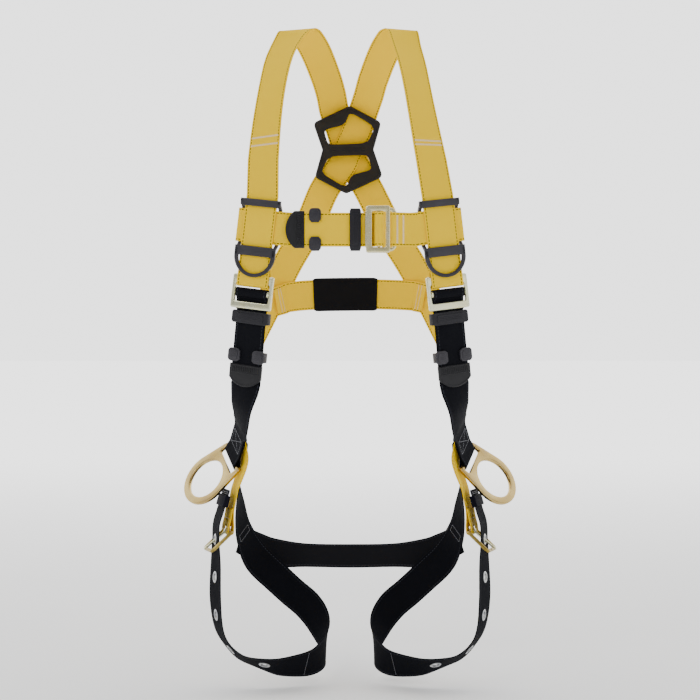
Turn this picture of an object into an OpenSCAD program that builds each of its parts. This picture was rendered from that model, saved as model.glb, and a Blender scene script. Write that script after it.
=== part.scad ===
// Full-body fall-arrest harness: webbing, adjusters, buckles, keepers and D-rings.
// Millimetres. +Z up, the wearer faces -Y, the wearer's right is -X.
// The origin is on the mid-plane, level with the top of the shoulders, where the straps rest.

/* [Webbing] */
// Width of the webbing
web_w = 45; // [43:0.5:46]
// Thickness of the webbing
web_t = 1.6; // [1.4:0.1:1.8]

/* [D-rings] */
// Inner diameter of a D-ring's eye
eye_d = 59; // [56:1:62]
// Width of the metal around the eye
rim_w = 10.8; // [9:0.2:12]
// Thickness of a D-ring
ring_t = 6; // [5:0.5:7]
// Diameter of a D-ring's base bar
bar_d = 7; // [6:0.5:7.5]

/* [Plastic parts] */
// Width of the keepers across the webbing
keeper_w = 56; // [54:1:60]
// Width of the lanyard sliders
slider_w = 58; // [57:1:60]
// Thickness of the dorsal plate
plate_t = 5.5; // [4:0.5:6]

/* [Buckles] */
// Outer width of the adjusters and buckles across the webbing
buckle_w = 58; // [57:1:60]
// Thickness of the pressed frames
frame_t = 5; // [4:0.5:5]

/* [Leg straps] */
// Outer diameter of the eyelets
eyelet_d = 16; // [14:0.5:18]
// Hole through the eyelets
eyelet_hole = 10; // [9:0.5:10.5]

/* [Hidden] */

// Colours
yellow = [0.96, 0.80, 0.12];
black = [0.13, 0.13, 0.15];
plastic = [0.25, 0.23, 0.27];
zinc = [0.74, 0.74, 0.62];
gold = [0.68, 0.61, 0.43];

gap = 0.3;                          // space between layers and around hardware
chest_w = 44.5;                     // the chest strap passes the sliders' windows
pitch = web_t + gap;                // from one layer of webbing to the next
fold = web_t / 2 + gap;             // from a bar's surface to the middle of a strap around it
tail_gap = 3.5;                     // from a strap to its tail where the end cap holds it

// ---- Frames: [origin, x, y, z], with y into the body and z up the strap ----
function unit(v) = v / norm(v);
function frame(o, up, out) =
    let (z = unit(up), x = unit(cross(-out, z))) [o, x, cross(z, x), z];
// A frame for what turns on a bar: x along the bar, y towards the far end
function bar_frame(o, along, towards) =
    let (x = unit(along), z = unit(cross(x, towards))) [o, x, cross(z, x), z];
function at(f, p) = f[0] + p[0] * f[1] + p[1] * f[2] + p[2] * f[3];
module in_frame(f)
    multmatrix([for (i = [0:2]) [f[1][i], f[2][i], f[3][i], f[0][i]]]) children();
module sided(s) mirror([s < 0 ? 1 : 0, 0, 0]) children();

// ---- Webbing: a strap is a list of stations, [point, direction of the width] ----
function mix(a, b, c, d, t) =
    0.5 * (2 * b + (c - a) * t + (2 * a - 5 * b + 4 * c - d) * t * t
        + (3 * b - a - 3 * c + d) * t * t * t);
function spline(s, n) = [for (i = [0:len(s) - 2], k = [0:n - 1])
        let (a = s[max(i - 1, 0)], b = s[i], c = s[i + 1], d = s[min(i + 2, len(s) - 1)], t = k / n)
        [mix(a[0], b[0], c[0], d[0], t), unit(mix(a[1], b[1], c[1], d[1], t))]];
function path(s, n) = squared(concat(spline(s, n), [s[len(s) - 1]]));
// Stations in a frame's y-z plane, with the width along the frame's x
function upright(f, yz) = [for (p = yz) [at(f, [0, p[0], p[1]]), f[1]]];
// Stations in a frame's x-y plane at height z, with the width along the frame's z
function level(f, xy, z = 0) = [for (p = xy) [at(f, [p[0], p[1], z]), f[3]]];
// Points on an arc from angle a0 to a1 in n steps
function bend(c, r, a0, a1, n) =
    [for (k = [0:n]) let (a = a0 + (a1 - a0) * k / n) [c[0] + r * cos(a), c[1] + r * sin(a)]];
function flip_v(v) = [-v[0], v[1], v[2]];
function flip(s) = [for (p = s) [flip_v(p[0]), flip_v(p[1])]];
function tangent(s, i) = unit(s[min(i + 1, len(s) - 1)][0] - s[max(i - 1, 0)][0]);
// Width directions made square to the strap, from station k on
function squared(s, k = 0) = [for (i = [0:len(s) - 1])
        let (z = tangent(s, i), w = s[i][1]) [s[i][0], i < k ? w : unit(w - z * (w * z))]];
// A slanted width direction is stretched so that the strap keeps its width
function ring(s, i, w, t) =
    let (c = s[i][0], z = tangent(s, i), across = s[i][1] - z * (s[i][1] * z),
        x = s[i][1] / norm(across) * w / 2, y = cross(z, unit(across)) * t / 2)
    [c + x + y, c + x - y, c - x - y, c - x + y];
module web(s, w = web_w, t = web_t) {
    n = len(s);
    sides = [for (i = [0:n - 2], k = [0:3])
        let (a = 4 * i + k, b = 4 * i + (k + 1) % 4)
        each [[a, b, b + 4], [a, b + 4, a + 4]]];
    polyhedron([for (i = [0:n - 1]) each ring(s, i, w, t)],
        concat([[2, 1, 0], [3, 2, 0]], sides,
            [[4 * n - 4, 4 * n - 3, 4 * n - 2], [4 * n - 4, 4 * n - 2, 4 * n - 1]]), 4);
}
// Distance along a strap to each station, and the frame of the strap at a distance
function runs(s) = [for (i = 0, d = 0; i < len(s);
        i = i + 1, d = d + (i < len(s) ? norm(s[i][0] - s[i - 1][0]) : 0)) d];
function reach(s, d) =
    let (r = runs(s), i = max([for (k = [0:len(s) - 2]) if (r[k] <= d) k]),
        t = (d - r[i]) / (r[i + 1] - r[i]), z = unit(s[i + 1][0] - s[i][0]),
        w = s[i][1] * (1 - t) + s[i + 1][1] * t, x = unit(w - z * (w * z)))
    [s[i][0] * (1 - t) + s[i + 1][0] * t, x, z, cross(x, z)];

// ---- Where the hardware sits on the wearer's right; the left is its mirror image ----
slider_at = frame([-121, -125, -306], [0.12, -0.04, 1], [-0.31, -0.95, 0]);
tail_at = frame([-136, -113, -448], [0.1, -0.09, 1], [-0.45, -0.89, -0.04]);
breast_at = frame([0, -138, -296.5], [0, 0, 1], [0, -1, 0]);
hip_at = frame([-166, 0, -607], [0.27, -0.5, 0.81], [-0.9, -0.43, 0.04]);
side_ring_at = bar_frame(hip_at[0], hip_at[1], [-0.76, 0.15, -0.63]);
dorsal_ring_at = bar_frame([-3, 122.5, -155], [1, 0, 0], [0, 0.82, -0.57]);
leg_loop_at = frame([-171, -25, -708], [0.1, 0.08, 1], [-0.95, -0.28, 0.1]);
leg_buckle_at = bar_frame(leg_loop_at[0], leg_loop_at[1], [-0.73, -0.1, -0.67]);
leg_keeper_at = frame([-177.5, -21.7, -665.5], [0.27, 0.1, 0.95], [-0.95, -0.28, 0.3]);
// Along the chest strap, with z from the tail's end towards the buckle
function chest_tail_at(x) = [at(breast_at, [x, -tail_gap, 0]), [0, 0, -1], [0, 1, 0], [1, 0, 0]];

// Heights in the slider's frame
chest_z = 15;                       // middle of the chest strap
top_bar_z = 47;                     // slider's top bar
adjuster_y = -0.7;                  // middle of the adjuster's frame
adjuster_top = -50;
adjuster_bar = -74;                 // centre bar
adjuster_bottom = -95.5;
adjuster_bar_d = 9;
roll_r = adjuster_bar_d / 2 + fold; // strap around the centre bar
loop_r = frame_t / 2 + fold;        // strap around a pressed frame's bar

// ---- Routes on the wearer's right, points chosen by hand ----
// The shoulder strap, from its loop on the torso adjuster up to the slider's top bar
front_start = upright(slider_at, concat(
    [[-2.4, -27], [-2.2, -38], [2.7, -47.5], [adjuster_y + loop_r, -53]],
    bend([adjuster_y, -62], loop_r, 0, -180, 8),
    [[-4.3, -50], [-4.3, -26], [-4.3, -13], [-5.2, -5], [-5.2, 15], [-5.2, 35], [-4.3, 43], [-4.3, 56]]));
// Over the shoulder and down the back; bow moves the front sideways
function over_shoulder(bow) = [
    [[-112 - bow * 0.6, -119, -202], [0.93, -0.35, -0.05]],
    [[-107 - bow, -104, -158], [0.89, -0.45, -0.05]],
    [[-101 - bow * 1.2, -86, -112], [0.84, -0.54, -0.05]],
    [[-95.5 - bow * 1.2, -66, -75], [0.82, -0.56, -0.1]],
    [[-91 - bow * 1.2, -46, -49], [0.83, -0.53, -0.1]],
    [[-84.5 - bow, -29, -29], [0.88, -0.45, -0.05]],
    [[-79 - bow * 0.5, -14, -10], [0.95, -0.25, 0.1]],
    [[-75 - bow * 0.2, -7, -3.5], [0.98, -0.1, 0.12]],
    [[-72, 0, -1.6], [1, 0, 0.11]],
    [[-67, 8, -3.5], [1, 0.02, 0.12]],
    [[-61, 18, -8], [0.98, 0.03, 0.18]],
    [[-51, 45, -19], [0.96, -0.02, 0.25]],
    [[-42, 70, -37], [0.92, 0, 0.33]],
    [[-34, 91, -56], [0.95, 0, 0.3]],
    [[-28, 110, -75], [0.97, 0, 0.2]]];
// Across the dorsal plate to the other hip; mid is the plate's middle, deep its place in the crossing
function across_back(mid, deep) = [
    [[mid / 2 - 22, deep - 6, -96], [1, 0, 0.05]],
    [[mid / 2 - 12, deep - 5.5, -125], [1, 0, 0]],
    [[mid * 0.9 - 5, deep - 2.2, -143], [1, 0, 0]],
    [[mid, deep, -155], [1, 0, 0]],
    [[mid + 5, deep - 2.2, -167], [1, 0, 0]],
    [[mid + 13, deep - 5.5, -182], [1, 0, 0]],
    [[mid * 1.7 + 35, deep - 5, -218], [0.97, 0, 0.2]],
    [[mid + 60, 126, -271], [0.88, -0.05, 0.47]],
    [[mid / 2 + 93, 127, -326], [0.87, -0.15, 0.46]],
    [[119, 120, -380], [0.78, -0.42, 0.46]],
    [[136, 103, -422], [0.62, -0.65, 0.43]],
    [[147, 85, -455], [0.4, -0.82, 0.4]],
    [[156, 62, -498], [0.05, -0.9, 0.45]],
    [[157.5, 33, -545], [-0.3, -0.8, 0.5]],
    [[156.8, -4.8, -582], [-0.39, -0.85, 0.35]],
    [[150, -14.8, -612], [-0.38, -0.92, 0.1]],
    [[161.5, -20, -650], [-0.28, -0.96, 0.05]]];
leg_loop = upright(leg_loop_at, concat([[1, 30], [1.6, 20], [3.4, 8]],
    bend([0, 0], loop_r, 0, -180, 8), [[-3.4, 8], [-1.6, 20], [-1, 32]]));
function main_route(bow, mid, deep) =
    let (s = concat(over_shoulder(bow), across_back(mid, deep)))
    concat(front_start, squared(concat(spline(s, 4), [s[len(s) - 1]]), 22 * 4), flip(leg_loop));

torso_tail_end = -36;
torso_route = concat(
    upright(tail_at, [[0, torso_tail_end], [0, 0], [0, 45.6]]),
    upright(slider_at, concat([[2.9, -95.5], [2.8, -86], [1.6, -82]],
        bend([adjuster_y, adjuster_bar], roll_r, 270, 0, 12),
        [[4.9, -80], [4.8, -95.5]])),
    upright(tail_at, [[2, 45.6], [2.2, 15], [tail_gap, -18], [tail_gap, -50]]),
    path([[[-142, -103, -508], [0.84, -0.52, -0.12]],
        [[-148, -88, -533], [0.6, -0.72, -0.32]],
        [[-151, -58, -557], [0.42, -0.76, -0.48]]], 4),
    upright(hip_at, concat([[-1, 42], [-1, 15], [-3, 8]],
        bend([0, 0], bar_d / 2 + fold, 180, 360, 10), [[3, 8], [1, 15], [1, 44]])));

slider_loop = level(slider_at, concat([[38, 1.6], [31, 2.8], [24, 3.1], [-26, 3.1]],
    bend([-slider_w / 2, 0], 3.1, 90, 270, 8), [[-26, -3.1], [29, -3.1]]), chest_z);
chest_link_bar = [38, -9.3];
link_bar_d = 8;
link_roll_r = link_bar_d / 2 + fold;
chest_route_right = concat(slider_loop,
    level(breast_at, concat([[-72, 0], [-30, 0], [18, 0], [27, 0], [32, -1], [35.5, -3.4]],
        bend(chest_link_bar, link_roll_r, 95, -190, 16),
        [[31.2, -3.6], [29.6, -2.2], [27, -pitch], [18, -pitch], [8, -3], [-10, -tail_gap], [-69, -tail_gap]])));
chest_frame_bar = [58.3, -5];
chest_route_left = concat(flip(slider_loop),
    level(breast_at, concat([[86, -0.6], [78, -3], [70, -6.6], [62, -9.2]],
        bend(chest_frame_bar, 4.3, 270, 90, 8),
        [[62, -1], [67, -2.9], [72, -3.5], [78, -1.1], [81, 0]])));

lumbar_route = path([[[-111, 117.2, -383], [0.35, -0.05, 0.94]],
    [[-99.5, 123, -379], [0.25, -0.02, 0.96]],
    [[-88, 128, -375], [0.15, 0, 0.98]],
    [[-55, 132, -372], [0.03, 0, 1]],
    [[0, 133, -371], [0, 0, 1]],
    [[41, 132, -371], [-0.03, 0, 1]],
    [[88, 126, -373], [-0.1, 0, 0.98]],
    [[99.5, 122.5, -375], [-0.15, -0.02, 0.97]],
    [[111, 117.8, -378], [-0.25, -0.05, 0.96]]], 4);

seat_right = [[[-161.6, 46.4, -725], [0.38, 0.78, 0.49]],
    [[-158.2, 57.2, -729], [0.38, 0.78, 0.49]],
    [[-151.8, 73.4, -736], [0.28, 0.7, 0.64]],
    [[-134, 90, -747], [0.15, 0.5, 0.85]],
    [[-112, 101, -756], [0.08, 0.5, 0.86]],
    [[-68, 111, -761], [0.04, 0.74, 0.67]]];
seat_left = flip(seat_right);
seat_route = path(concat(seat_right, [[[0, 116, -763], [0, 0.74, 0.67]]],
    [for (i = [len(seat_left) - 1:-1:0]) seat_left[i]]), 4);

leg_cross = at(leg_buckle_at, [0, 20, -3.3]);
leg_down = path([[[-150.6, -4.4, -577.5], [-0.3, 0.75, 0.58]],
    [[-153.5, 4, -597], [-0.33, 0.75, 0.56]],
    [[-155.5, 12, -617], [-0.25, 0.83, 0.48]],
    [[-159.5, 22, -650], [-0.05, 0.88, 0.46]],
    [[-158.5, 36, -685], [0.2, 0.82, 0.5]],
    [[-154, 53, -721], [0.38, 0.78, 0.49]],
    [[-138.5, 74, -758], [0.6, 0.45, 0.65]],
    [[-110, 86, -789], [0.77, 0.05, 0.63]],
    [[-86, 90, -812], [0.77, -0.05, 0.63]],
    [[-62.5, 86, -831.5], [0.73, -0.1, 0.68]],
    [[-45.5, 70, -852.5], [0.6, -0.3, 0.75]],
    [[-35, 38, -876], [0.15, -0.3, 0.94]],
    [[-38, 3, -885], [-0.05, -0.25, 0.96]],
    [[-57, -26, -892], [0, -0.5, 0.86]],
    [[-95, -46, -892.5], [0, -0.73, 0.68]],
    [[-126, -51, -887], [0.05, -0.87, 0.47]],
    [[-151, -50, -879], [0.25, -0.93, 0.27]],
    [[-170, -46, -862], [0.28, -0.95, 0.12]],
    [[-182, -43, -838], [0.36, -0.93, 0.05]],
    [[-187, -39, -798], [0.42, -0.91, 0]],
    [[-187, -32, -750], [0.37, -0.93, 0.02]],
    [leg_cross, leg_buckle_at[1]],
    [[-186.5, -25, -697], [0.28, -0.96, 0]],
    [[-181, -23, -678], [0.28, -0.96, 0]],
    [[-173, -20, -650], [0.28, -0.96, 0]]], 4);
leg_cross_run = runs(leg_down)[21 * 4];
eyelet_step = 52;
eyelet_runs = [for (k = [0:4]) leg_cross_run - k * eyelet_step];

// ---- Shared shapes ----
// A flat shape standing across the strap: x along the width, z up, t thick, its middle at y
module standing(y, t) translate([0, y, 0]) rotate([90, 0, 0]) linear_extrude(t, center = true) children();
module cross_bar(d, l) rotate([0, 90, 0]) cylinder(d = d, h = l, center = true, $fn = 32);
module rounded(w, h, r) {
    square([w - 2 * r, h], center = true);
    square([w, h - 2 * r], center = true);
    for (x = [-1, 1], y = [-1, 1])
        translate([x * (w / 2 - r), y * (h / 2 - r)]) circle(r, $fn = 32);
}

// A forged ring with a slot beside its base bar: x along the bar, y towards the tip
module d_ring(leg_x, leg_w) {
    slot_end = 12.4;
    eye_y = slot_end + 7 + eye_d / 2;
    outer_r = eye_d / 2 + rim_w;
    slot_w = 2 * leg_x - leg_w;
    color(gold) {
        difference() {
            linear_extrude(ring_t, center = true) {
                translate([0, eye_y]) circle(outer_r, $fn = 96);
                polygon([[-leg_x - leg_w / 2, 0], [leg_x + leg_w / 2, 0],
                    [outer_r - 0.6, eye_y - 7], [0.6 - outer_r, eye_y - 7]]);
            }
            translate([0, eye_y, 0]) cylinder(d = eye_d, h = 2 * ring_t, center = true, $fn = 96);
            translate([0, slot_end / 2 - 5, 0]) linear_extrude(2 * ring_t, center = true)
                rounded(slot_w, slot_end + 10, 3);
        }
        cross_bar(bar_d, 2 * leg_x + leg_w);
    }
}

// Ladder-lock frame: top bar, bottom bar and a round centre bar for the strap's roll
module adjuster_frame() {
    rail = 5;
    mid_z = (adjuster_top + adjuster_bottom) / 2;
    tall = adjuster_top - adjuster_bottom;
    top_bar = 12;
    bottom_bar = 9.5;
    window = tall - top_bar - bottom_bar;
    color(zinc) {
        standing(adjuster_y, frame_t) difference() {
            translate([0, mid_z]) rounded(buckle_w, tall, 3);
            translate([0, adjuster_bottom + bottom_bar + window / 2]) rounded(buckle_w - 2 * rail, window, 2);
        }
        translate([0, adjuster_y, adjuster_bar]) cross_bar(adjuster_bar_d, buckle_w - 2 * rail + 2);
    }
}

// Sliding lanyard keeper: a ladder round the chest strap with a D loop below
module lanyard_slider() {
    rail = 4.5;
    half = slider_w / 2;
    front = -9.5;
    bar_y = -7.5;
    bar_t = 4;
    color(plastic) {
        for (x = [-half + 0.5, half - rail - 0.5]) translate([x, 0, 0]) rotate([90, 0, 90]) linear_extrude(rail)
            polygon([[front, 50.3], [front + bar_t, 50.3], [front + bar_t, 47], [2, 39.5], [2, -9],
                [front + bar_t, -16.5], [front + bar_t, -24], [front, -24], [front, -15.5], [-2, -8],
                [-2, 38], [front, 45.5]]);
        standing(bar_y, bar_t) {
            translate([0, top_bar_z]) rounded(2 * half - 1, 6.6, 2);
            difference() {
                union() {
                    translate([-half, -24]) square([2 * half, 12]);
                    intersection() {
                        translate([0, -24]) circle(half, $fn = 96);
                        translate([-half, -60]) square([2 * half, 36]);
                    }
                }
                intersection() {
                    translate([0, -25]) circle(half - 5.8, $fn = 96);
                    translate([-half, -60]) square([2 * half, 35]);
                }
            }
        }
    }
}

keeper_in = [46.4, 5.9];            // opening of a keeper
keeper_mid = 1.75;                  // its middle, between the strap and its tail
keeper_wall_t = 2.4;                // front and back walls
module keeper_wall(h) linear_extrude(h, center = true) difference() {
    translate([0, keeper_mid]) rounded(keeper_w, keeper_in[1] + 2 * keeper_wall_t, 3);
    translate([0, keeper_mid]) square(keeper_in, center = true);
}
module bar_keeper(h) color(plastic) {
    keeper_wall(h);
    translate([0, keeper_mid - keeper_in[1] / 2 - 2.6, 0]) rotate([0, 90, 0])
        linear_extrude(keeper_in[0] - 6, center = true) rounded(h - 7, 2.4, 1);
}
module clip_keeper(h) color(plastic) {
    tab = 18.5;
    difference() {
        keeper_wall(h);
        translate([0, keeper_mid - keeper_in[1] / 2 - 3, 0])
            cube([keeper_w - 2 * tab, 6 - 0.02, 2 * h], center = true);
    }
    for (x = [-1, 1]) translate([x * (keeper_w / 2 - tab / 2 - 1), keeper_mid - keeper_in[1] / 2 - 2.6, 0])
        rotate([90, 0, 0]) linear_extrude(1.8, center = true) rounded(tab - 4, h - 4, 4);
}

// Cap on a strap's end: a straight band towards the strap, bowed beyond it
module end_cap(l) {
    half = 24.5;
    bow = 12;
    r = (half * half + bow * bow) / (2 * bow);
    top = -27;
    color(black) difference() {
        union() {
            standing(-0.2, 4.8) {
                intersection() {
                    translate([0, top + r - l]) circle(r, $fn = 120);
                    translate([-half, top - l]) square([2 * half, bow + 0.01]);
                }
                translate([-half, top + bow - l]) square([2 * half, l - bow]);
            }
            for (k = [0:6]) translate([0, -2.6, top - 3 - 2.2 * k]) cross_bar(1.4, 2 * half - 12);
        }
        translate([0, 0, top]) cube([45.8, 2.2, 20.4], center = true);
    }
}

// ---- Webbing ----
module main_strap_right() color(yellow) difference() {
    web(main_route(6, -3, 129.3));
    sided(-1) leg_tongue_slot();
}
module main_strap_left() color(yellow) sided(-1) difference() {
    web(main_route(-6, 3, 127.3));
    sided(-1) leg_tongue_slot();
}
// Slot for the tongue in the loop on the leg buckle's base bar
module leg_tongue_slot() in_frame(leg_loop_at) translate([-5.5, -10, -12]) cube([11, 20, 19]);
module chest_strap_right() color(yellow) web(chest_route_right, chest_w);
module chest_strap_left() color(yellow) web(chest_route_left, chest_w);
module lumbar_strap() color(yellow) web(lumbar_route);
module lumbar_sleeve() color(black) difference() {
    web([for (i = [12:20]) lumbar_route[i]], 50, 6);
    web([for (i = [11:21]) lumbar_route[i]], web_w + 1, web_t + 0.8);
}
module torso_strap(s) color(black) sided(s) web(torso_route);
module leg_strap(s) color(black) sided(s) difference() {
    web(leg_down);
    for (r = eyelet_runs) in_frame(reach(leg_down, r))
        cylinder(d = eyelet_hole + 2, h = 20, center = true, $fn = 32);
}
module seat_strap() color(black) web(seat_route);

// ---- Hardware ----
module dorsal_plate() {
    lobe = [[-43.5, 36.5], [2.5, 58], [41.5, 37.5], [31, 0], [-31, 0]];
    window = [[-36, 30], [-5.5, 37.5], [3, 57], [40.5, 34.5], [29, 9.5], [-26, 7.5], [-31, 11.5]];
    color(plastic) translate([-3, 0, -155.5]) standing(118.5 - plate_t / 2, plate_t) difference() {
        for (a = [0, 180]) rotate(a) hull() for (p = lobe) translate(p) circle(7, $fn = 32);
        for (a = [0, 180]) rotate(a) polygon(window);
    }
}
module dorsal_d_ring() in_frame(dorsal_ring_at) d_ring(33, 7);
module side_d_ring(s) sided(s) in_frame(side_ring_at) d_ring(28.5, 6);
module slider(s) sided(s) in_frame(slider_at) lanyard_slider();
link_t = 4;                         // chest buckle's plates
module chest_buckle_frame() color(zinc) in_frame(breast_at) standing(chest_frame_bar[1], link_t)
    difference() {
        translate([19.6, -buckle_w / 2]) square([41.9, buckle_w]);
        translate([27.5, -24]) square([28, 48]);
        for (x = [19.6, 61.5], z = [-1, 1]) translate([x, z * buckle_w / 2]) rotate(45) square(8.5, center = true);
    }
module chest_buckle_link() color(zinc) in_frame(breast_at) {
    standing(chest_link_bar[1], link_t) difference() {
        translate([36.8, 0]) rounded(31.6, 62, 3);
        translate([38, 0]) rounded(18, 47, 2);
    }
    translate([chest_link_bar[0], chest_link_bar[1], 0]) cylinder(d = link_bar_d, h = 47.6, center = true, $fn = 32);
}
module chest_bar_keeper() in_frame(chest_tail_at(7)) bar_keeper(15);
module chest_clip_keeper() in_frame(chest_tail_at(-46)) clip_keeper(16);
module chest_end_cap() in_frame(chest_tail_at(-33)) end_cap(25);
module torso_adjuster(s) sided(s) in_frame(slider_at) adjuster_frame();
module torso_bar_keeper(s) sided(s) in_frame(tail_at) translate([0, 0, 36.5]) bar_keeper(17);
module torso_clip_keeper(s) sided(s) in_frame(tail_at) translate([0, 0, -15]) clip_keeper(18);
module torso_end_cap(s) sided(s) in_frame(tail_at) end_cap(30);

// Leg buckle: a round bar bent into a frame, x along the base bar, y towards the end bar
leg_bar_d = 5;
leg_frame_l = 37;
tongue_d = 3.6;
tongue_rise = -4.9;                 // the tongue's height over the end bar
module leg_buckle_frame(s) color(zinc) sided(s) in_frame(leg_buckle_at) {
    half = buckle_w / 2 - leg_bar_d / 2;
    for (y = [0, leg_frame_l]) translate([0, y, 0]) cross_bar(leg_bar_d, 2 * half);
    for (x = [-half, half]) translate([x, leg_frame_l / 2, 0]) rotate([90, 0, 0])
        cylinder(d = leg_bar_d, h = leg_frame_l, center = true, $fn = 32);
    for (x = [-half, half], y = [0, leg_frame_l]) translate([x, y, 0]) sphere(d = leg_bar_d, $fn = 24);
}
module leg_buckle_tongue(s) color(zinc) sided(s) in_frame(leg_buckle_at) {
    difference() {
        cross_bar(leg_bar_d + 5.6, 8);
        cross_bar(leg_bar_d + 0.6, 10);
    }
    lean = atan2(-tongue_rise - 1.5, leg_frame_l);
    translate([0, 4, -1.9]) rotate([-90 - lean, 0, 0]) cylinder(d = tongue_d, h = 37, $fn = 32);
}
module leg_keeper(s) color(plastic) sided(s) in_frame(leg_keeper_at) linear_extrude(16, center = true)
    difference() {
        rounded(50, 7.4, 2);
        rounded(46.4, 3.6, 1);
    }
module leg_eyelets(s) color(zinc) sided(s) for (r = eyelet_runs) in_frame(reach(leg_down, r))
    difference() {
        union() {
            cylinder(d = eyelet_hole + 2, h = 3.2, center = true, $fn = 32);
            for (z = [-1, 1]) translate([0, 0, z * 1.2]) cylinder(d = eyelet_d, h = 0.8, center = true, $fn = 32);
        }
        cylinder(d = eyelet_hole, h = 10, center = true, $fn = 32);
    }

main_strap_right();
main_strap_left();
chest_strap_right();
chest_strap_left();
lumbar_strap();
lumbar_sleeve();
torso_strap(1);  // torso_strap_right
torso_strap(-1);  // torso_strap_left
leg_strap(1);  // leg_strap_right
leg_strap(-1);  // leg_strap_left
seat_strap();
dorsal_plate();
dorsal_d_ring();
side_d_ring(1);  // side_d_ring_right
side_d_ring(-1);  // side_d_ring_left
slider(1);  // lanyard_slider_right
slider(-1);  // lanyard_slider_left
chest_buckle_frame();
chest_buckle_link();
chest_bar_keeper();
chest_clip_keeper();
chest_end_cap();
torso_adjuster(1);  // torso_adjuster_right
torso_adjuster(-1);  // torso_adjuster_left
torso_bar_keeper(1);  // torso_bar_keeper_right
torso_bar_keeper(-1);  // torso_bar_keeper_left
torso_clip_keeper(1);  // torso_clip_keeper_right
torso_clip_keeper(-1);  // torso_clip_keeper_left
torso_end_cap(1);  // torso_end_cap_right
torso_end_cap(-1);  // torso_end_cap_left
leg_buckle_frame(1);  // leg_buckle_frame_right
leg_buckle_frame(-1);  // leg_buckle_frame_left
leg_buckle_tongue(1);  // leg_buckle_tongue_right
leg_buckle_tongue(-1);  // leg_buckle_tongue_left
leg_keeper(1);  // leg_keeper_right
leg_keeper(-1);  // leg_keeper_left
leg_eyelets(1);  // leg_eyelets_right
leg_eyelets(-1);  // leg_eyelets_left
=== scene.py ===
"""Looks of the full-body harness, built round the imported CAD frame. Metres, the CAD row's frame."""
import math
import random

import bmesh
import bpy
from mathutils import Matrix, Vector


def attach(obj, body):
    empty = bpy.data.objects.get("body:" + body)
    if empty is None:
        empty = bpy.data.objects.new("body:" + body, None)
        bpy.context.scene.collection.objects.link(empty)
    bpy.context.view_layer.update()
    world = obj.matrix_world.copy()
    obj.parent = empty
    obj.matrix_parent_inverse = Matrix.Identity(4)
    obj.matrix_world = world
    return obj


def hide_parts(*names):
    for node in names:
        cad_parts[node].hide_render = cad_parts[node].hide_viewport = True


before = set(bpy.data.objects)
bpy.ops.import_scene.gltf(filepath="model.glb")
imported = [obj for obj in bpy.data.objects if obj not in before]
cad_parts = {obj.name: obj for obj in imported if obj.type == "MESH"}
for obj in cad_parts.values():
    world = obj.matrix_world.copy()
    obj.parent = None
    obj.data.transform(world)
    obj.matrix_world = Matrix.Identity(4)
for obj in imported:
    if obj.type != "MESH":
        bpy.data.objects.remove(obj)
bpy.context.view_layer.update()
random.seed(7)
MM = 0.001

# ------ sizes in mm, as in the CAD part
WEB_W, WEB_T = 45.0, 1.6
CHEST_W = 44.5
EYE_D, RIM_W, RING_T, BAR_D = 59.0, 10.8, 6.0, 7.0      # D-rings: eye, rim, thickness and base bar
KEEPER_W, KEEPER_SLOT = 56.0, 46.4
SLIDER_W, PLATE_T = 58.0, 5.5
BUCKLE_W, FRAME_T = 58.0, 5.0
ADJUSTER_Y, ADJUSTER_BAR_R = -0.7, 4.5  # in the lanyard slider's frame
LINK_Y, LINK_BAR_R = -9.3, 4            # in the chest's frame
EYELETS, EYELET_STEP, EYELET_HOLE = 5, 52, 10.0
GAP = 0.3                               # between two layers that lie on each other
PITCH = WEB_T + GAP
FOLD = WEB_T / 2 + GAP                  # from a bar's surface to the middle of the strap round it
TAIL_GAP = 3.5                          # between the two layers of a tail, middle to middle
SIDES = ((1, "right"), (-1, "left"))


# ------ frames: (origin, x, y, z)
def V(*p):
    return Vector(p)


def frame_at(o, up, out):
    """z along up, y away from the side that faces out."""
    z = V(*up).normalized()
    x = (-V(*out)).cross(z).normalized()
    return (V(*o), x, z.cross(x), z)


def bar_frame(o, along, towards):
    """x along a bar, y near the way towards which a ring lies from it."""
    x = Vector(along).normalized()
    z = x.cross(V(*towards)).normalized()
    return (V(*o), x, z.cross(x), z)


def at(f, p):
    return f[0] + p[0] * f[1] + p[1] * f[2] + p[2] * f[3]


def matrix_of(f):
    """Frame as a matrix for meshes drawn in millimetres; the result is in metres."""
    m = Matrix.Identity(4)
    for r in range(3):
        for c in range(3):
            m[r][c] = f[c + 1][r] * MM
        m[r][3] = f[0][r] * MM
    return m


slider_at = frame_at((-121, -125, -306), (0.12, -0.04, 1), (-0.31, -0.95, 0))
tail_at = frame_at((-136, -113, -448), (0.1, -0.09, 1), (-0.45, -0.89, -0.04))
breast_at = frame_at((0, -138, -296.5), (0, 0, 1), (0, -1, 0))
hip_at = frame_at((-166, 0, -607), (0.27, -0.5, 0.81), (-0.9, -0.43, 0.04))
side_ring_at = bar_frame(hip_at[0], hip_at[1], (-0.76, 0.15, -0.63))
dorsal_ring_at = bar_frame((-3, 122.5, -155), (1, 0, 0), (0, 0.82, -0.57))
leg_loop_at = frame_at((-171, -25, -708), (0.1, 0.08, 1), (-0.95, -0.28, 0.1))
leg_buckle_at = bar_frame(leg_loop_at[0], leg_loop_at[1], (-0.73, -0.1, -0.67))
leg_keeper_at = frame_at((-177.5, -21.7, -665.5), (0.27, 0.1, 0.95), (-0.95, -0.28, 0.3))
plate_at = (V(-3, 118.5 - PLATE_T / 2, -155.5), V(1, 0, 0), V(0, 1, 0), V(0, 0, 1))


def chest_tail_at(x):
    return (at(breast_at, (x, -TAIL_GAP, 0)), V(0, 0, -1), V(0, 1, 0), V(1, 0, 0))


def shifted(f, z):
    return (at(f, (0, 0, z)), f[1], f[2], f[3])


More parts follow.
